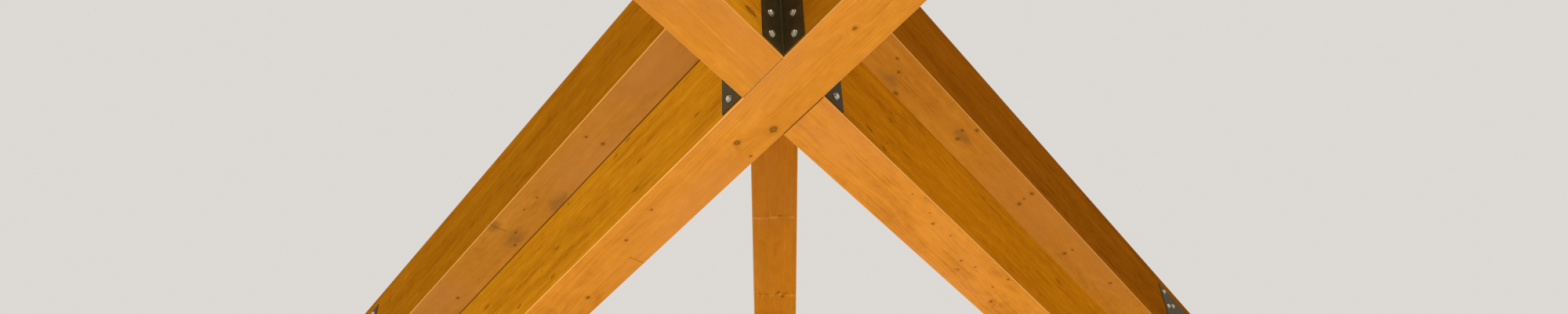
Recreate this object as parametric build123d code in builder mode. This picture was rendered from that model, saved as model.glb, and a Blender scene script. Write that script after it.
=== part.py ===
from build123d import *
import os
from math import sin, cos, tan, radians

# Wooden roof truss: a lower and an upper cross of glued timber, one above the other,
# with a post between the crossings and a valley beam in the far corner of the upper cross.
# Millimetres, +Z up. The origin is under the crossing, level with the undersides of the lower cross.

# Driving dimensions of the timbers
beam_width = 200
lower_depth = 386
upper_depth = 433
tier_gap = 381
beam_length = 8000
cross_angle = 74.5
arris = 3
valley_width = 200
valley_depth = 240
valley_length = 3000
valley_slope = 7.7
post_width = 200

# Driving dimensions of the steel: bent angles in the lower corners, flat plates on the upper beams
plate = 4
bend_radius = 4
corner_flange = 104
corner_gauge = 63
corner_foot = 10
side_plate_length = 660
side_plate_distance = 3305
side_plate_drop = 67
column_edge = 40
column_pitch = 89

# Driving dimensions of the bolts and of the rows that they stand in
bolt_rows = 3
row_pitch = 94
row_edge = 38
hole_radius = 6.5
washer_radius = 12
washer_thickness = 2.5
head_across_flats = 19
head_height = 8

# Air left between pieces that seat on each other
seat = 0.3

half_angle = cross_angle / 2
upper_base = lower_depth + tier_gap
upper_top = upper_base + upper_depth
face_offset = beam_width / 2 + seat
steel_height = 2 * row_edge + (bolt_rows - 1) * row_pitch


def heading(degrees):
    """Level unit vector, its angle measured from +Y towards +X."""
    return Vector(sin(radians(degrees)), cos(radians(degrees)), 0)


# The four arms of a cross, seen from above with the valley beam pointing away
far_left = heading(-half_angle)
far_right = heading(half_angle)
near_left = far_right * -1
near_right = far_left * -1


def export(piece, name):
    """Label the finished piece and write it as a STEP file of the same name."""
    piece.part.label = name
    export_step(piece.part, f"parts/{name}.step")


def through_beam(base, depth):
    """The beam that runs whole through the crossing, its edges eased."""
    with BuildPart() as beam:
        with BuildSketch(Plane((0, 0, base), x_dir=far_left, z_dir=(0, 0, 1))):
            Rectangle(beam_length, beam_width)
        extrude(amount=depth)
        chamfer(beam.edges(), length=arris)
    return beam


def half_beam(base, depth, arm):
    """A beam from the crossing outwards, its inner end cut sharp to butt the through beam's side."""
    butt = heading(90 - half_angle)
    if butt.dot(arm) < 0:
        butt = butt * -1
    with BuildPart() as beam:
        with BuildSketch(Plane((0, 0, base), x_dir=arm, z_dir=(0, 0, 1))):
            Rectangle(beam_length / 2, beam_width, align=(Align.MIN, Align.CENTER))
        extrude(amount=depth)
        chamfer(beam.edges(), length=arris)
        split(bisect_by=Plane(butt * face_offset, z_dir=butt), keep=Keep.TOP)
    return beam


def valley_beam():
    """The beam in the far corner of the upper cross, pointed to fit it and falling outwards."""
    fall = Vector(0, cos(radians(valley_slope)), -sin(radians(valley_slope)))
    corner = face_offset / sin(radians(half_angle))
    start = Vector(0, 0, upper_top + corner * tan(radians(valley_slope)))
    with BuildPart() as beam:
        with BuildSketch(Plane(start, x_dir=(1, 0, 0), z_dir=fall)):
            Rectangle(valley_width, valley_depth, align=(Align.CENTER, Align.MIN))
        extrude(amount=corner + valley_length)
        for side in (heading(90 - half_angle), heading(half_angle - 90)):
            split(bisect_by=Plane(side * face_offset, z_dir=side), keep=Keep.TOP)
        chamfer(beam.edges().filter_by(Axis((0, 0, 0), fall)), length=arris)
    return beam


def king_post():
    """The post that carries the upper crossing on the lower one."""
    with BuildPart() as post:
        with BuildSketch(Plane((0, 0, lower_depth + seat), x_dir=far_left, z_dir=(0, 0, 1))):
            Rectangle(post_width, post_width)
        extrude(amount=tier_gap - 2 * seat)
        chamfer(post.edges().filter_by(Axis.Z), length=arris)
    return post


def flange_face(heel, way, inside):
    """Plane on a timber face at a flange's middle height: x runs from the heel, z into the corner."""
    across = Vector(-way.Y, way.X, 0)
    if across.dot(inside) < 0:
        across = across * -1
    return Plane(heel + Vector(0, 0, corner_foot + steel_height / 2), x_dir=way, z_dir=across)


def bolt_places(face, columns):
    """Bolt places on a steel face: each column is its distance along x and its number of rows."""
    places = []
    for along, rows in columns:
        for row in range(rows):
            rise = Vector(0, 0, (row - (rows - 1) / 2) * row_pitch)
            centre = face.origin + face.x_dir * along + rise
            places.append(Plane(centre, x_dir=face.x_dir, z_dir=face.z_dir))
    return places


def corner_angle(heel, ways, places):
    """A bent steel angle whose outer faces meet at the heel, drilled for its bolts."""
    ends = [heel + way * corner_flange for way in ways]
    with BuildPart() as angle:
        with BuildSketch(Plane.XY.offset(corner_foot)):
            with BuildLine():
                FilletPolyline(ends[0], heel, ends[1], radius=bend_radius + plate)
                offset(amount=plate, side=Side.LEFT)
            make_face()
        extrude(amount=steel_height)
        with Locations(*[place.offset(plate) for place in places]):
            Hole(hole_radius)
    return angle


def side_plate(face, places):
    """A flat steel plate on the side of an upper beam, drilled for its bolts."""
    with BuildPart() as flat:
        with BuildSketch(face):
            Rectangle(side_plate_length, steel_height)
        extrude(amount=plate)
        with Locations(*[place.offset(plate) for place in places]):
            Hole(hole_radius)
    return flat


def bolts(places):
    """Hexagon bolt heads on their washers, standing on the steel."""
    with BuildPart() as group:
        with BuildSketch(*[place.offset(plate) for place in places]):
            Circle(washer_radius)
        extrude(amount=washer_thickness)
        with BuildSketch(*[place.offset(plate + washer_thickness) for place in places]):
            RegularPolygon(head_across_flats / 2, 6, major_radius=False)
        extrude(amount=head_height)
    return group


os.makedirs("parts", exist_ok=True)

# Timbers of the two crosses, the post between them and the valley beam
for tier, base, depth in (("lower", 0, lower_depth), ("upper", upper_base, upper_depth)):
    export(through_beam(base, depth), f"{tier}_through_beam")
    export(half_beam(base, depth, near_left), f"{tier}_near_half_beam")
    export(half_beam(base, depth, far_right), f"{tier}_far_half_beam")
export(king_post(), "king_post")
export(valley_beam(), "valley_beam")

# Corners of the lower crossing: the angle's heel there, and the way of its two flanges, clockwise
narrow_corner = face_offset / sin(radians(half_angle))
wide_corner = face_offset / cos(radians(half_angle))
corners = {
    "near": (Vector(0, -narrow_corner, 0), (near_right, near_left)),
    "left": (Vector(-wide_corner, 0, 0), (near_left, far_left)),
    "right": (Vector(wide_corner, 0, 0), (far_right, near_right)),
}
corner_bolts = []
for place, (heel, ways) in corners.items():
    spots = []
    for way in ways:
        spots += bolt_places(flange_face(heel, way, ways[0] + ways[1]), [(corner_gauge, bolt_rows)])
    export(corner_angle(heel, ways, spots), f"lower_{place}_angle")
    corner_bolts += spots
export(bolts(corner_bolts), "lower_corner_bolts")

# Plates on the outer sides of the upper beams, with staggered bolts at both of their ends
outer_column = side_plate_length / 2 - column_edge
inner_column = outer_column - column_pitch
plate_middle = side_plate_distance + side_plate_length / 2
plate_level = upper_top - side_plate_drop - steel_height / 2
side_bolts = []
for place, arm, side in (
    ("left", far_left, heading(-90 - half_angle)),
    ("right", far_right, heading(90 + half_angle)),
):
    centre = arm * plate_middle + side * face_offset + Vector(0, 0, plate_level)
    face = Plane(centre, x_dir=arm, z_dir=side)
    columns = []
    for end in (-1, 1):
        columns += [(end * outer_column, bolt_rows), (end * inner_column, bolt_rows - 1)]
    spots = bolt_places(face, columns)
    export(side_plate(face, spots), f"side_plate_{place}")
    side_bolts += spots
export(bolts(side_bolts), "side_plate_bolts")
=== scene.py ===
import math

import bpy
from mathutils import Matrix, Vector


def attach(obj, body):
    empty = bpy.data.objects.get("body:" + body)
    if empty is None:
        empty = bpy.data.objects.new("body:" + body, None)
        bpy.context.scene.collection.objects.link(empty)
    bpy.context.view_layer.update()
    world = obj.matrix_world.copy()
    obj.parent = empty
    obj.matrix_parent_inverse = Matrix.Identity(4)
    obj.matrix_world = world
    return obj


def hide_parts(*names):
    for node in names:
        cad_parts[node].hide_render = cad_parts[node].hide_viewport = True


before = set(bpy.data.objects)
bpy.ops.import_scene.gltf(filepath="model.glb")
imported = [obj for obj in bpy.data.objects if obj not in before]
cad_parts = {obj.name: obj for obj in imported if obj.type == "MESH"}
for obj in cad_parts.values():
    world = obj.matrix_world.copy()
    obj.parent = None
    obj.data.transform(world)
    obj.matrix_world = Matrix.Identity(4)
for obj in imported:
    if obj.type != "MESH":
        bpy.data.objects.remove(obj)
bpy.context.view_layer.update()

# The view: the truss seen from under its near arms, looking up at the lower crossing.
# The camera stands where the beams' vanishing points put it, measured from the middle of
# the lower crossing's underside, and turns a little to the right and a little off level.
eye = Vector((-0.115, -2.564, -2.617))
eye_pitch = math.radians(42.69)
eye_yaw = math.radians(2.40)
eye_roll = math.radians(-3.00)
picture_width = 2000
focal_pixels = 1509.7
camera_data = bpy.data.cameras.new("camera")
camera_data.sensor_width = 36
camera_data.lens = focal_pixels / picture_width * camera_data.sensor_width
camera_data.clip_end = 400
camera = bpy.data.objects.new("camera", camera_data)
eye_turn = Matrix.Rotation(-eye_yaw, 3, "Z") @ Matrix.Rotation(math.pi / 2 + eye_pitch, 3, "X")
camera.matrix_world = Matrix.Translation(eye) @ (eye_turn @ Matrix.Rotation(eye_roll, 3, "Z")).to_4x4()
bpy.context.collection.objects.link(camera)
bpy.context.scene.camera = camera

# The lower cross: one beam right through and two half beams butting its sides, all of flat
# spruce boards about 40 mm thick glued in a stack, in some beams two boards side by side,
# finger jointed end to end. They are planed, their long edges eased, and stained honey.
half_angle = math.radians(74.5 / 2)
through_turn = math.pi / 2 + half_angle
half_turn = math.pi / 2 - half_angle
butt_way = (math.cos(half_angle), math.sin(half_angle), 0.0)
lower_depth, half_width = 0.386, 0.100
board_thickness, board_length, skin = 0.0395, 3.9, 0.0001
finger_pitch, finger_depth = 0.004, 0.007
ring_width, stray_knot_length, stray_knot_width = 0.0085, 0.70, 0.16
layer_spread, board_spread, side_spread = 7.0, 90.0, 3.37
knot_heart, knot_brown = (0.22, 0.078, 0.010), (0.13, 0.046, 0.006)
# The dark brown here darkens the closed butt joints and is also the painted shade along the upper beams'
# shaded edges. The gold is the pale of the eased lower edges, partly wear and partly painted highlight, and
# the pale of the valley's folds.
arris_gold, joint_and_shade_brown, smudge_grey = (0.90, 0.46, 0.13), (0.10, 0.035, 0.004), (0.17, 0.085, 0.030)
# The beams' colours here differ from beam to beam, left, near and right, by more than their stain: part of
# that is painted light and shade, matched to how each beam's faces are lit.
lower_flat, lower_flat_right = (0.63, 0.228, 0.021), (0.68, 0.250, 0.0265)
left_edge, near_edge, right_edge = (0.430, 0.161, 0.0045), (0.67, 0.265, 0.0080), (0.462, 0.151, 0.0029)


class Finish:
    """A short way to add and link the nodes of one material."""

    def __init__(self, name):
        self.material = bpy.data.materials.new(name)
        self.material.use_nodes = True
        self.nodes = self.material.node_tree.nodes
        self.links = self.material.node_tree.links
        self.shader = self.nodes["Principled BSDF"]

    def add(self, kind, *inputs, out=0, **settings):
        """Add a shader node, feed its inputs in order and give one of its outputs."""
        node = self.nodes.new("ShaderNode" + kind)
        for key, value in settings.items():
            setattr(node, key, value)
        for socket, value in zip(node.inputs, inputs):
            self.feed(socket, value)
        return node.outputs[out]

    def feed(self, socket, value):
        """Link or set a socket. None leaves it as it is."""
        if value is None:
            return
        if isinstance(value, bpy.types.NodeSocket):
            self.links.new(value, socket)
        else:
            socket.default_value = value

    def math(self, operation, *inputs):
        return self.add("Math", *inputs, operation=operation)

    def total(self, *terms):
        """Sum of (value, weight) pairs."""
        result = None
        for value, weight in terms:
            term = self.math("MULTIPLY", value, weight)
            result = term if result is None else self.math("ADD", result, term)
        return result

    def vector(self, operation, *inputs, out=0):
        return self.add("VectorMath", *inputs, out=out, operation=operation)

    def noise(self, place, stretch, detail, roughness=0.55, shift=None):
        """Smooth noise from -0.5 to 0.5, its features about 1 / stretch metres long each way."""
        place = self.vector("MULTIPLY", place, stretch)
        if shift is not None:
            place = self.vector("ADD", place, shift)
        return self.math("SUBTRACT", self.add("TexNoise", place, None, 1.0, detail, roughness), 0.5)

    def split(self, vector):
        node = self.nodes.new("ShaderNodeSeparateXYZ")
        self.links.new(vector, node.inputs[0])
        return node.outputs

    def ramp(self, value, low, high, to_low=0.0, to_high=1.0):
        """A soft step from one value to another while the input goes from low to high."""
        return self.add("MapRange", value, low, high, to_low, to_high, interpolation_type="SMOOTHSTEP")

    def mix(self, factor, first, second):
        node = self.nodes.new("ShaderNodeMix")
        node.data_type = "RGBA"
        for identifier, value in (("Factor_Float", factor), ("A_Color", first), ("B_Color", second)):
            socket = next(s for s in node.inputs if s.identifier == identifier)
            self.feed(socket, (*value, 1.0) if isinstance(value, tuple) else value)
        return next(s for s in node.outputs if s.identifier == "Result_Color")

    def tint(self, factor, first, second, strength):
        """Mix towards the second colour by a factor, at most by the strength."""
        return self.mix(self.math("MULTIPLY", factor, strength), first, second)

    def shade(self, tone, middle):
        """The stain from pale (tone 0) over its middle colour (0.5) to dark (1)."""
        red, green, blue = middle
        pale = (red * 1.30, green * 1.45, blue * 1.9)
        dark = (red * 0.55, green * 0.45, blue * 0.35)
        light = self.mix(self.ramp(tone, 0.0, 0.55), pale, middle)
        return self.mix(self.ramp(tone, 0.45, 1.0), light, dark)

    def bump(self, height, strength, distance):
        node = self.nodes.new("ShaderNodeBump")
        node.inputs["Strength"].default_value = strength
        node.inputs["Distance"].default_value = distance
        self.feed(node.inputs["Height"], height)
        self.links.new(node.outputs["Normal"], self.shader.inputs["Normal"])


def nearest_spot(t, along, spots, flat_stretch, side_stretch):
    """Distance to the nearest of a beam's listed spots (x, y, z, size), in spot sizes."""
    nearest = None
    for spot_x, spot_y, spot_z, size in spots:
        apart = t.vector("SUBTRACT", along, (spot_x, spot_y, spot_z))
        stretch = side_stretch if abs(spot_y) >= half_width else flat_stretch
        apart = t.vector("MULTIPLY", apart, (stretch / size, 1 / size, 1 / size))
        apart = t.vector("LENGTH", apart, out=1)
        nearest = apart if nearest is None else t.math("MINIMUM", nearest, apart)
    return nearest


def finish_node(node_name, material):
    """Put a finish on a piece that is carried over from the frame."""
    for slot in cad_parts[node_name].material_slots:
        slot.link = "OBJECT"
        slot.material = material


def timber(node_name, turn, seed, base, depth, flat, edge, joints, line=None, line_from=None,
           knots=(), smudges=(), folds=(), fall=0.0, butts=False, shaded_edge=0.0):
    """Give one beam its glued spruce: grain, streaks, glue lines, finger joints, knots, eased edges.

    The grain runs along x once the beam is turned level. flat and edge are the colours on the
    boards' faces and on the sides that show their edges: stain, with some painted light and shade
    in them. joints are the x of the finger joints in the lowest boards. line is the y at which two
    boards lie side by side, where they do, and line_from the x from which that line is dark. Knots
    and smudges are (x, y, z, size). shaded_edge is the side of y on which the underside's edge lies
    in shade; there the edge strip and the whole side face get painted shade.
    """
    t = Finish(node_name + "_timber")
    coords = t.nodes.new("ShaderNodeTexCoord")
    place, facing = coords.outputs["Object"], coords.outputs["Normal"]
    along = t.add("VectorRotate", place, None, None, -turn, rotation_type="Z_AXIS")
    along = t.add("VectorRotate", along, None, None, -fall, rotation_type="Y_AXIS")
    x, y, z = t.split(along)
    facing = t.add("VectorRotate", facing, None, None, -turn, rotation_type="Z_AXIS")
    facing = t.add("VectorRotate", facing, None, None, -fall, rotation_type="Y_AXIS")
    fx, fy, fz = t.split(t.vector("ABSOLUTE", facing))
    side = t.ramp(fz, 0.5, 0.8, 1.0, 0.0)
    top = t.math("SUBTRACT", 1.0, side)

    # Which board of the stack, and which length of it between two finger joints
    thickness = depth / round(depth / board_thickness)
    stack = t.math("DIVIDE", t.math("SUBTRACT", z, base - skin), thickness)
    layer = t.math("FLOOR", stack)
    strip = 0.0 if line is None else t.math("GREATER_THAN", y, line)
    layer_chance = t.add("TexWhiteNoise", None, t.math("ADD", layer, seed), noise_dimensions="1D")
    layer_shift = t.math("MULTIPLY", layer_chance, t.math("MINIMUM", layer, 1.0))
    teeth = t.math("MULTIPLY", t.math("PINGPONG", y, finger_pitch / 2), finger_depth / finger_pitch * 2)
    first = t.total((strip, joints[-1] - joints[0]), (teeth, -1.0), (1.0, joints[0]))
    run = t.total((x, 1 / board_length), (first, -1 / board_length), (layer_shift, layer_spread))
    stamp = t.add("CombineXYZ", layer, t.math("FLOOR", run), t.math("ADD", strip, float(seed)))
    chance = t.add("TexWhiteNoise", stamp, None, out=1, noise_dimensions="3D")
    chance_a, chance_b, chance_c = t.split(chance)
    far_off = t.vector("SCALE", chance, None, None, board_spread)

    # Knots: the listed ones, and a few small stray ones elsewhere
    up_side = t.math("MULTIPLY", side, t.math("ADD", z, side_spread))
    across = t.math("ADD", up_side, t.math("MULTIPLY", top, y))
    cell_x, cell_y = t.math("DIVIDE", x, stray_knot_length), t.math("DIVIDE", across, stray_knot_width)
    cells = t.add("CombineXYZ", cell_x, cell_y, 0.0)
    cells = t.vector("ADD", cells, (seed * 3.1, seed * 1.7, 0.0))
    stray = t.nodes.new("ShaderNodeTexVoronoi")
    stray.voronoi_dimensions = "2D"
    stray.inputs["Scale"].default_value = 1.0
    stray.inputs["Randomness"].default_value = 0.85
    t.links.new(cells, stray.inputs["Vector"])
    apart = t.vector("SUBTRACT", cells, stray.outputs["Position"])
    apart = t.vector("MULTIPLY", apart, (stray_knot_length * 0.5, stray_knot_width, 0.0))
    pick, pick_size, _ = t.split(stray.outputs["Color"])
    stray_size = t.total((pick_size, 0.004), (1.0, 0.0025))
    nearest = t.math("DIVIDE", t.vector("LENGTH", apart, out=1), stray_size)
    nearest = t.math("ADD", nearest, t.ramp(pick, 0.30, 0.31, 0.0, 60.0))
    if knots:
        nearest = t.math("MINIMUM", nearest, nearest_spot(t, along, knots, 0.75, 0.38))
    nearest = t.total((nearest, 1.0), (t.noise(along, (38.0, 70.0, 70.0), 2.0), 1.2))
    swirl = t.ramp(nearest, 0.7, 6.0, 1.0, 0.0)
    knot_core = t.ramp(nearest, 0.5, 1.1, 1.0, 0.0)
    knot_rim = t.math("MULTIPLY", t.ramp(nearest, 0.2, 0.8), t.ramp(nearest, 0.8, 1.3, 1.0, 0.0))
    knot_halo = t.ramp(nearest, 0.9, 2.8, 1.0, 0.0)

    # Rings round a pith that lies off the board and drifts along its length
    drift_place = t.vector("ADD", t.vector("MULTIPLY", along, (0.9, 2.4, 2.4)), far_off)
    drift = t.add("TexNoise", drift_place, None, 1.0, 3.0, out=1)
    _, drift_y, drift_z = t.split(t.vector("SUBTRACT", drift, (0.5, 0.5, 0.5)))
    within = t.total((z, 1.0), (layer, -thickness), (1.0, -base))
    from_y = t.total((y, 1.0), (chance_a, -0.30), (drift_y, 0.16), (1.0, 0.15))
    from_z = t.total((within, 1.0), (chance_b, 0.08), (drift_z, 0.10), (1.0, 0.02))
    radius = t.vector("LENGTH", t.add("CombineXYZ", 0.0, from_y, from_z), out=1)
    ring = t.math("FRACT", t.math("DIVIDE", t.total((radius, 1.0), (swirl, 0.012)), ring_width))
    late_wood = t.math("MULTIPLY", t.ramp(ring, 0.2, 0.85), t.ramp(ring, 0.88, 1.0, 1.0, 0.0))

    # Fine and broad streaks along the grain, bright flecks, pores and clouds
    fine = t.noise(along, (2.6, 125.0, 125.0), 3.0, 0.6, far_off)
    broad = t.noise(along, (0.8, 24.0, 24.0), 2.0, 0.5, far_off)
    pores = t.noise(along, (16.0, 330.0, 330.0), 2.0, 0.6)
    clouds = t.noise(along, (2.6, 8.0, 8.0), 4.0, 0.6, (seed * 5.0, 0.0, 0.0))
    blush = t.noise(along, (1.1, 3.0, 3.0), 2.0, 0.5, (0.0, seed * 2.0, 0.0))
    mottle = t.noise(along, (16.0, 30.0, 30.0), 3.0, 0.6)
    fleck = t.ramp(t.noise(along, (9.0, 230.0, 230.0), 2.0, 0.5, far_off), 0.15, 0.24)
    flat_tone = t.total((fine, 0.32), (broad, 0.32), (pores, 0.30), (clouds, 0.65), (mottle, 0.42),
                        (late_wood, 0.10), (chance_c, 0.14), (fleck, -0.12), (1.0, 0.40))
    edge_tone = t.total((fine, 0.80), (broad, 0.40), (pores, 0.40), (clouds, 0.60), (mottle, 0.40),
                        (late_wood, 0.08), (chance_c, 0.10), (fleck, -0.45), (1.0, 0.45))
    end_tone = t.total((late_wood, 0.55), (mottle, 0.60), (pores, 0.60), (chance_c, 0.20), (1.0, 0.35))
    deep = tuple(value * 0.42 for value in edge)
    peach = (flat[0] * 1.02, flat[1] * 1.06, flat[2] * 2.4)
    flat_colour = t.tint(t.ramp(blush, -0.05, 0.15), t.shade(flat_tone, flat), peach, 0.5)
    colour = t.mix(side, flat_colour, t.shade(edge_tone, edge))
    colour = t.mix(t.ramp(fx, 0.90, 0.97), colour, t.shade(end_tone, edge))

    # Glue lines, finger joints, smudges, folds, knots, the dark closed joint at a butt, painted shade
    # on a shaded edge, and painted highlight and shade on the eased edges
    glue = t.ramp(t.math("ABSOLUTE", t.math("SUBTRACT", t.math("FRACT", stack), 0.5)), 0.475, 0.495)
    glue = t.math("MULTIPLY", glue, side)
    joint = t.ramp(t.math("ABSOLUTE", t.math("SUBTRACT", t.math("FRACT", run), 0.5)), 0.4984, 0.4996)
    joint = t.math("MULTIPLY", joint, t.total((top, 0.60), (1.0, 0.15)))
    colour = t.tint(glue, colour, deep, 0.14)
    colour = t.tint(joint, colour, deep, 0.55)
    if line_from is not None:
        meeting = t.ramp(t.math("ABSOLUTE", t.math("SUBTRACT", y, line)), 0.0006, 0.0016, 1.0, 0.0)
        shown = t.math("MULTIPLY", top, t.ramp(x, line_from - 0.1, line_from + 0.1))
        colour = t.tint(t.math("MULTIPLY", meeting, shown), colour, deep, 0.20)
    if smudges:
        smudge = t.total((nearest_spot(t, along, smudges, 0.5, 0.5), 1.0), (mottle, 2.8), (clouds, 2.0))
        colour = t.tint(t.ramp(smudge, 0.0, 1.3, 1.0, 0.0), colour, smudge_grey, 0.45)
    for fold_x in folds:
        wave = t.total((t.noise(along, (2.0, 16.0, 16.0), 2.0), 0.045), (x, 1.0), (1.0, -fold_x))
        dark_fold = t.ramp(t.math("ABSOLUTE", wave), 0.001, 0.010, 1.0, 0.0)
        pale_fold = t.ramp(t.math("ABSOLUTE", t.math("SUBTRACT", wave, 0.012)), 0.001, 0.010, 1.0, 0.0)
        dark_fold = t.math("MULTIPLY", dark_fold, t.ramp(mottle, -0.04, 0.12, 0.0, top))
        pale_fold = t.math("MULTIPLY", pale_fold, t.ramp(mottle, -0.12, 0.10, top, 0.0))
        colour = t.tint(dark_fold, colour, deep, 0.55)
        colour = t.tint(pale_fold, colour, arris_gold, 0.22)
    colour = t.tint(knot_halo, colour, deep, 0.22)
    colour = t.tint(knot_core, colour, knot_heart, 0.55)
    colour = t.tint(knot_rim, colour, knot_brown, 0.60)
    if butts:
        distance = t.math("ABSOLUTE", t.vector("DOT_PRODUCT", place, butt_way, out=1))
        joint_and_shade_strip = t.ramp(distance, half_width + 0.0008, half_width + 0.0030, 1.0, 0.0)
        colour = t.tint(joint_and_shade_strip, colour, joint_and_shade_brown, 0.8)
    # Painted highlight and shade on the eased edges: pale below half the beam's depth, as if lit from below,
    # with a little wear in that pale; dark above it and on the whole shaded side, as painted shade.
    painted_shade_arris = t.math("GREATER_THAN", z, base + depth / 2)
    # Painted shade on the shaded side: a dark strip along the underside's edge and the whole side face beyond
    # it, standing in for the shade between the two crosses.
    if shaded_edge:
        shaded = t.math("MULTIPLY", y, shaded_edge)
        painted_shade_arris = t.math("MAXIMUM", painted_shade_arris, t.math("GREATER_THAN", shaded, 0.0))
        joint_and_shade_strip = t.ramp(shaded, half_width - 0.0100, half_width - 0.0065)
        colour = t.tint(joint_and_shade_strip, colour, joint_and_shade_brown, 0.85)
    squareness = t.math("MAXIMUM", t.math("MAXIMUM", fx, fy), fz)
    eased = t.ramp(squareness, 0.80, 0.92, 1.0, 0.0)
    colour = t.tint(eased, colour, t.mix(painted_shade_arris, arris_gold, deep), 0.62)
    t.feed(t.shader.inputs["Base Color"], colour)
    t.feed(t.shader.inputs["Roughness"], t.ramp(mottle, -0.2, 0.2, 0.42, 0.60))
    t.shader.inputs["Specular IOR Level"].default_value = 0.0
    relief = t.total((late_wood, 0.4), (pores, -0.5), (glue, -0.8), (joint, -0.6))
    t.bump(relief, 0.25, 0.0006)
    finish_node(node_name, t.material)


lower_through_knots = (
    (0.133, -0.061, 0.0, 0.0115), (0.247, -0.002, 0.0, 0.0085), (0.272, -0.076, 0.0, 0.004),
    (0.682, 0.041, 0.0, 0.004), (0.872, 0.023, 0.0, 0.005), (1.238, -0.040, 0.0, 0.007),
    (-0.346, 0.002, 0.0, 0.006), (0.328, 0.1, 0.134, 0.005), (0.773, 0.1, 0.366, 0.005),
    (0.854, 0.1, 0.346, 0.005), (0.681, 0.1, 0.196, 0.004), (0.695, 0.1, 0.072, 0.006),
    (1.249, 0.1, 0.175, 0.005), (1.836, 0.1, 0.253, 0.007), (1.522, 0.1, 0.069, 0.006),
)
lower_far_knots = (
    (0.823, -0.037, 0.0, 0.005), (0.765, -0.060, 0.0, 0.0025), (0.689, -0.089, 0.0, 0.002),
    (0.642, -0.067, 0.0, 0.002), (0.920, -0.051, 0.0, 0.0025), (1.070, -0.006, 0.0, 0.0035),
    (1.136, -0.027, 0.0, 0.003), (1.107, 0.030, 0.0, 0.003), (1.282, -0.083, 0.0, 0.004),
    (1.363, 0.036, 0.0, 0.006), (1.287, -0.014, 0.0, 0.003), (0.339, -0.1, 0.060, 0.006),
    (0.495, -0.1, 0.218, 0.005), (1.766, -0.1, 0.260, 0.007),
)
timber("lower_through_beam", through_turn, 3, 0.0, lower_depth, lower_flat, left_edge, (0.95, 3.1),
       line=-0.038, line_from=0.7, knots=lower_through_knots)
timber("lower_near_half_beam", half_turn, 11, 0.0, lower_depth, lower_flat, near_edge, (-2.4, -3.3),
       line=0.006, line_from=-4.0, knots=((-0.289, -0.1, 0.071, 0.010),), butts=True)
timber("lower_far_half_beam", half_turn, 5, 0.0, lower_depth, lower_flat_right, right_edge, (2.9,),
       knots=lower_far_knots, butts=True)

# The corner angles: 4 mm steel plate bent once to the beams' angle, set in the near, left
# and right corners of the lower cross a little above its underside, and painted a brown
# black that has gone matt.
paint_dark, paint_worn = (0.052, 0.034, 0.0105), (0.070, 0.047, 0.0145)
steel = Finish("dark_steel_paint")
steel_place = steel.nodes.new("ShaderNodeTexCoord").outputs["Object"]
patches = steel.add("TexNoise", steel_place, None, 26.0, 4.0, 0.6)
grit = steel.add("TexNoise", steel_place, None, 420.0, 2.0, 0.6)
paint = steel.mix(steel.ramp(patches, 0.35, 0.7), paint_dark, paint_worn)
steel.feed(steel.shader.inputs["Base Color"], paint)
steel.feed(steel.shader.inputs["Roughness"], steel.ramp(patches, 0.2, 0.8, 0.40, 0.60))
steel.shader.inputs["Specular IOR Level"].default_value = 0.04
steel.bump(grit, 0.2, 0.0004)
for name in ("lower_near_angle", "lower_left_angle", "lower_right_angle"):
    finish_node(name, steel.material)

# The king post: a square glued post, its grain upright, that stands on the lower crossing
# and carries the upper one. It has the colours of the upper beams, their painted shade with them.
upper_base, post_width = 0.767, 0.200
# The upper beams' colours: stain with painted shade in it.
upper_flat, upper_edge = (0.607, 0.253, 0.027), (0.305, 0.104, 0.0026)
timber("king_post", through_turn, 31, -post_width / 2, post_width, upper_flat, upper_edge, (5.0,),
       fall=-math.pi / 2)

# The upper cross: three beams like the lower ones but deeper, whose undersides lie in the
# shade of the lower cross. Their colours are duller, and most so on the right: partly a darker
# stain, partly painted shade, the shade they lie in put into their colour.
upper_depth = 0.433
upper_flat_right, upper_edge_right = (0.570, 0.228, 0.0195), (0.254, 0.0735, 0.0022)
upper_through_knots = (
    (1.222, -0.036, 0.767, 0.006), (1.226, 0.040, 0.767, 0.005), (1.675, 0.019, 0.767, 0.004),
    (2.531, -0.030, 0.767, 0.006), (1.940, -0.020, 0.767, 0.004), (2.020, -0.060, 0.767, 0.005),
)
upper_through_smudges = (
    (1.980, -0.040, 0.767, 0.045), (1.655, -0.070, 0.767, 0.040), (1.950, 0.078, 0.767, 0.020),
)
upper_far_knots = (
    (0.729, -0.044, 0.767, 0.005), (0.792, -0.009, 0.767, 0.005), (1.240, -0.036, 0.767, 0.005),
    (1.279, -0.083, 0.767, 0.007), (1.270, 0.006, 0.767, 0.006), (1.785, -0.070, 0.767, 0.007),
    (1.794, -0.026, 0.767, 0.004), (1.811, 0.007, 0.767, 0.007), (2.267, 0.015, 0.767, 0.006),
    (2.266, -0.026, 0.767, 0.004), (2.624, -0.051, 0.767, 0.006), (1.550, -0.1, 0.906, 0.005),
)
upper_far_smudges = ((0.807, 0.038, 0.767, 0.035), (1.270, -0.020, 0.767, 0.030))
timber("upper_through_beam", through_turn, 17, upper_base, upper_depth, upper_flat, upper_edge,
       (3.6, 1.957), line=0.018, knots=upper_through_knots, smudges=upper_through_smudges,
       shaded_edge=-1.0)
timber("upper_near_half_beam", half_turn, 23, upper_base, upper_depth, upper_flat, upper_edge,
       (-2.2,), butts=True)
timber("upper_far_half_beam", half_turn, 29, upper_base, upper_depth, upper_flat_right, upper_edge_right,
       (3.2,), knots=upper_far_knots, smudges=upper_far_smudges, butts=True, shaded_edge=1.0)

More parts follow.
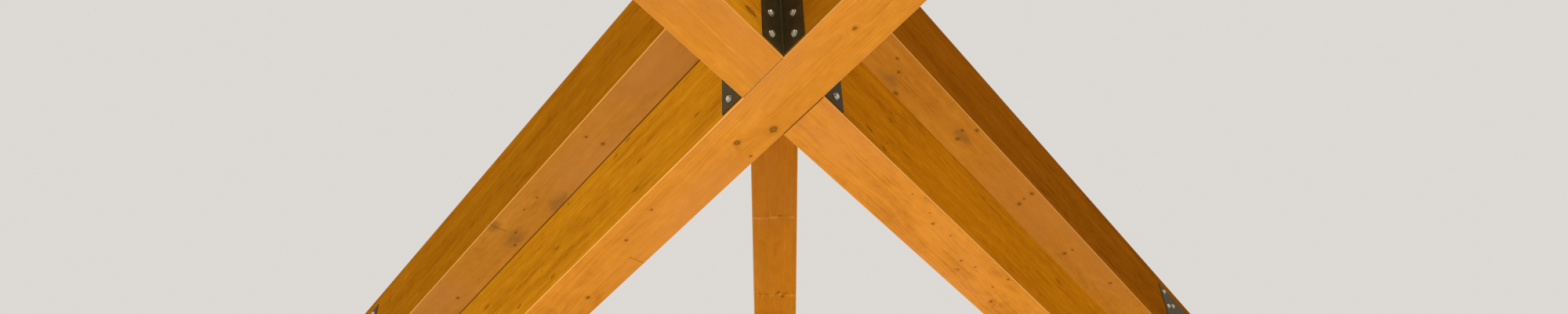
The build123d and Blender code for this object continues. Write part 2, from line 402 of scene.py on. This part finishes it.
# The valley beam: a glued beam whose pointed end fits the far corner of the upper cross,
# falling outwards. Two wavy folds in the grain cross its underside, one beside small knots.
valley_fall = math.radians(7.7)
valley_base, valley_depth = 0.9714, 0.240
valley_stain = (0.50, 0.170, 0.009)
valley_knots = ((1.869, -0.016, 0.971, 0.005), (1.896, -0.035, 0.971, 0.006))
timber("valley_beam", math.pi / 2, 37, valley_base, valley_depth, valley_stain, valley_stain, (3.4,),
       knots=valley_knots, folds=(1.385, 1.880), fall=valley_fall)

# The side plates: flat 4 mm steel plates bolted to the outer sides of the upper far arms,
# painted like the angles.
for name in ("side_plate_left", "side_plate_right"):
    finish_node(name, steel.material)

# The bolts: zinc plated hexagon heads on round washers, three rows to a flange in the
# corners and staggered groups of five at both ends of each side plate.
plate, washer_radius, washer_thickness = 0.004, 0.012, 0.0025
head_across_flats, head_height, head_bevel = 0.0185, 0.007, 0.0032
washer_sides, head_sides, spin_step = 32, 6, 2.399
bolt_rows, row_pitch, row_edge, corner_gauge, corner_foot = 3, 0.094, 0.038, 0.063, 0.010
face_offset = 0.1003
side_plate_start, side_plate_length, side_plate_top = 3.305, 0.660, 1.133
column_edge, column_pitch = 0.040, 0.089
zinc_dull, zinc_bright = (0.34, 0.31, 0.23), (0.82, 0.78, 0.64)
zinc = Finish("zinc_plate")
zinc_place = zinc.nodes.new("ShaderNodeTexCoord").outputs["Object"]
spangle = zinc.add("TexNoise", zinc_place, None, 240.0, 3.0, 0.6)
zinc.feed(zinc.shader.inputs["Base Color"], zinc.mix(spangle, zinc_dull, zinc_bright))
zinc.shader.inputs["Metallic"].default_value = 0.7
zinc.feed(zinc.shader.inputs["Roughness"], zinc.ramp(spangle, 0.2, 0.8, 0.30, 0.55))


def heading(angle):
    """Level unit vector, its angle measured from +Y towards +X."""
    return Vector((math.sin(angle), math.cos(angle), 0.0))


def bolt_tree():
    """Geometry nodes that set a washer and a bevelled hexagon head on each point, facing its way out."""
    tree = bpy.data.node_groups.new("hexagon_bolts", "GeometryNodeTree")
    tree.interface.new_socket("Points", in_out="INPUT", socket_type="NodeSocketGeometry")
    for name in ("Washer Radius", "Washer Thickness", "Across Flats", "Head Height", "Bevel"):
        tree.interface.new_socket(name, in_out="INPUT", socket_type="NodeSocketFloat")
    tree.interface.new_socket("Finish", in_out="INPUT", socket_type="NodeSocketMaterial")
    tree.interface.new_socket("Bolts", in_out="OUTPUT", socket_type="NodeSocketGeometry")
    given = tree.nodes.new("NodeGroupInput").outputs
    result = tree.nodes.new("NodeGroupOutput")

    def node(kind, inputs=(), **settings):
        made = tree.nodes.new(kind)
        for key, value in settings.items():
            setattr(made, key, value)
        for name, value in dict(inputs).items():
            if isinstance(value, bpy.types.NodeSocket):
                tree.links.new(value, made.inputs[name])
            else:
                made.inputs[name].default_value = value
        return made

    def math_node(operation, first, second):
        return node("ShaderNodeMath", {0: first, 1: second}, operation=operation).outputs[0]

    def bevelled_prism(sides, radius, tall, bevel_in, bevel_tall, level):
        """One closed prism whose middle ring of points is moved out to where its bevel starts."""
        top_radius = math_node("SUBTRACT", radius, bevel_in)
        cone = node("GeometryNodeMeshCone", {
            "Vertices": sides, "Side Segments": 2, "Radius Bottom": radius, "Radius Top": top_radius,
            "Depth": tall})
        position = node("GeometryNodeInputPosition").outputs[0]
        spot = node("ShaderNodeSeparateXYZ", {0: position}).outputs
        above = math_node("GREATER_THAN", spot["Z"], math_node("MULTIPLY", tall, 0.25))
        below = math_node("LESS_THAN", spot["Z"], math_node("MULTIPLY", tall, 0.75))
        ring_radius = math_node("MULTIPLY", math_node("ADD", radius, top_radius), 0.5)
        outwards = math_node("DIVIDE", radius, ring_radius)
        moved = node("ShaderNodeCombineXYZ", {
            "X": math_node("MULTIPLY", spot["X"], outwards), "Y": math_node("MULTIPLY", spot["Y"], outwards),
            "Z": math_node("SUBTRACT", tall, bevel_tall)}).outputs[0]
        shaped = node("GeometryNodeSetPosition", {
            "Geometry": cone.outputs["Mesh"], "Selection": math_node("MULTIPLY", above, below),
            "Position": moved})
        lift = node("ShaderNodeCombineXYZ", {"Z": level}).outputs[0]
        lifted = node("GeometryNodeTransform", {"Geometry": shaped.outputs[0], "Translation": lift})
        return lifted.outputs[0]

    radius, thick = given["Washer Radius"], given["Washer Thickness"]
    flats, tall, bevel = given["Across Flats"], given["Head Height"], given["Bevel"]
    washer_bevel = math_node("MULTIPLY", bevel, 0.4)
    corner = math_node("DIVIDE", flats, math.sqrt(3))
    parts = (
        bevelled_prism(washer_sides, radius, thick, washer_bevel, washer_bevel, 0.0),
        bevelled_prism(head_sides, corner, tall, bevel, bevel, thick),
    )
    joined = node("GeometryNodeJoinGeometry")
    for part in parts:
        tree.links.new(part, joined.inputs[0])
    out = node("GeometryNodeInputNamedAttribute", {"Name": "out"}, data_type="FLOAT_VECTOR").outputs[0]
    spin = node("GeometryNodeInputNamedAttribute", {"Name": "spin"}, data_type="FLOAT").outputs[0]
    aim = node("FunctionNodeAlignRotationToVector", {"Vector": out}, axis="Z").outputs[0]
    twist = node("FunctionNodeAxisAngleToRotation", {"Axis": (0, 0, 1), "Angle": spin}).outputs[0]
    turned = node("FunctionNodeRotateRotation", {"Rotation": aim, "Rotate By": twist}, rotation_space="LOCAL")
    placed = node("GeometryNodeInstanceOnPoints", {
        "Points": given["Points"], "Instance": joined.outputs[0], "Rotation": turned.outputs[0]})
    real = node("GeometryNodeRealizeInstances", {"Geometry": placed.outputs[0]})
    finish = node("GeometryNodeSetMaterial", {"Geometry": real.outputs[0], "Material": given["Finish"]})
    tree.links.new(finish.outputs[0], result.inputs[0])
    return tree


def set_bolts(name, stands_for, places, tree):
    """Make one piece of bolts from (place, way out) pairs, in the place of the frame's plain ones."""
    mesh = bpy.data.meshes.new(name + "_places")
    mesh.from_pydata([tuple(spot) for spot, _ in places], [], [])
    mesh.attributes.new("out", "FLOAT_VECTOR", "POINT")
    mesh.attributes.new("spin", "FLOAT", "POINT")
    for index, (_, way) in enumerate(places):
        mesh.attributes["out"].data[index].vector = way
        mesh.attributes["spin"].data[index].value = (index * spin_step) % math.pi
    holder = bpy.data.objects.new(name + "_places", mesh)
    bpy.context.collection.objects.link(holder)
    modifier = holder.modifiers.new("bolts", "NODES")
    modifier.node_group = tree
    sizes = {
        "Washer Radius": washer_radius, "Washer Thickness": washer_thickness,
        "Across Flats": head_across_flats, "Head Height": head_height, "Bevel": head_bevel,
        "Finish": zinc.material,
    }
    for item in tree.interface.items_tree:
        if item.in_out == "INPUT" and item.name in sizes:
            modifier[item.identifier] = sizes[item.name]
    seen = holder.evaluated_get(bpy.context.evaluated_depsgraph_get())
    made = bpy.data.meshes.new_from_object(seen)
    holder.modifiers.remove(modifier)
    bpy.data.objects.remove(holder)
    bolts = bpy.data.objects.new(name, made)
    bpy.context.collection.objects.link(bolts)
    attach(bolts, "root")
    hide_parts(stands_for)


far_left, far_right = heading(-half_angle), heading(half_angle)
near_left, near_right = -far_right, -far_left
narrow_corner, wide_corner = face_offset / math.sin(half_angle), face_offset / math.cos(half_angle)
corner_places = []
for heel, ways in (
    (Vector((0, -narrow_corner, 0)), (near_right, near_left)),
    (Vector((-wide_corner, 0, 0)), (near_left, far_left)),
    (Vector((wide_corner, 0, 0)), (far_right, near_right)),
):
    for way in ways:
        out = Vector((-way.y, way.x, 0))
        out *= math.copysign(1, out.dot(ways[0] + ways[1]))
        for row in range(bolt_rows):
            level = corner_foot + row_edge + row * row_pitch
            corner_places.append((heel + way * corner_gauge + out * plate + Vector((0, 0, level)), out))

left_out, right_out = heading(-math.pi / 2 - half_angle), heading(math.pi / 2 + half_angle)
column_rows = (bolt_rows, bolt_rows - 1, bolt_rows - 1, bolt_rows)
side_places = []
for arm, out in ((far_left, left_out), (far_right, right_out)):
    for column, rows in enumerate(column_rows):
        from_start, from_end = column, len(column_rows) - 1 - column
        inset = column_edge + column_pitch * min(from_start, from_end)
        reach = side_plate_start + (inset if from_start < from_end else side_plate_length - inset)
        for row in range(rows):
            level = side_plate_top - row_edge - row_pitch * (row + (bolt_rows - rows) / 2)
            side_places.append((arm * reach + out * (face_offset + plate) + Vector((0, 0, level)), out))
bolt_maker = bolt_tree()
set_bolts("corner_bolt_set", "lower_corner_bolts", corner_places, bolt_maker)
set_bolts("side_bolt_set", "side_plate_bolts", side_places, bolt_maker)

# The studio: a pale floor well below the truss, a pale sky all round, soft light from the
# floor and from above, and a broad low sun on the left that reaches the floor evenly.
floor_level, floor_half, floor_grey = -4.2, 300.0, (0.70, 0.68, 0.65)
sky_white, sky_strength = (1.0, 0.97, 0.93), 0.72
lit_middle = Vector((0, 0.5, 0.4))
floor_mesh = bpy.data.meshes.new("floor")
corners = ((-1, -1), (1, -1), (1, 1), (-1, 1))
floor_corners = [(floor_half * right, floor_half * away, floor_level) for right, away in corners]
floor_mesh.from_pydata(floor_corners, [], [(0, 1, 2, 3)])
floor = bpy.data.objects.new("floor", floor_mesh)
bpy.context.collection.objects.link(floor)
pale = Finish("pale_floor")
pale.shader.inputs["Base Color"].default_value = (*floor_grey, 1)
pale.shader.inputs["Roughness"].default_value = 0.9
floor_mesh.materials.append(pale.material)

world = bpy.data.worlds.new("sky")
world.use_nodes = True
sky = world.node_tree.nodes["Background"]
sky.inputs["Color"].default_value = (*sky_white, 1)
sky.inputs["Strength"].default_value = sky_strength
bpy.context.scene.world = world
for name, kind, spot, size, strength in (
    ("floor_light", "AREA", Vector((0.0, 0.5, -4.0)), 9.0, 185),
    ("top_light", "AREA", Vector((3.0, -4.0, 7.0)), 6.0, 350),
    ("left_sun", "SUN", Vector((-11.0, -7.0, 2.2)), math.radians(24), 1.7),
):
    lamp = bpy.data.lights.new(name, kind)
    lamp.energy = strength
    if kind == "SUN":
        lamp.angle = size
    else:
        lamp.size = size
    light = bpy.data.objects.new(name, lamp)
    aim = (lit_middle - spot).to_track_quat("-Z", "Y").to_matrix().to_4x4()
    light.matrix_world = Matrix.Translation(spot) @ aim
    light.visible_camera = False
    bpy.context.collection.objects.link(light)
bpy.context.scene.view_settings.view_transform = "Standard"
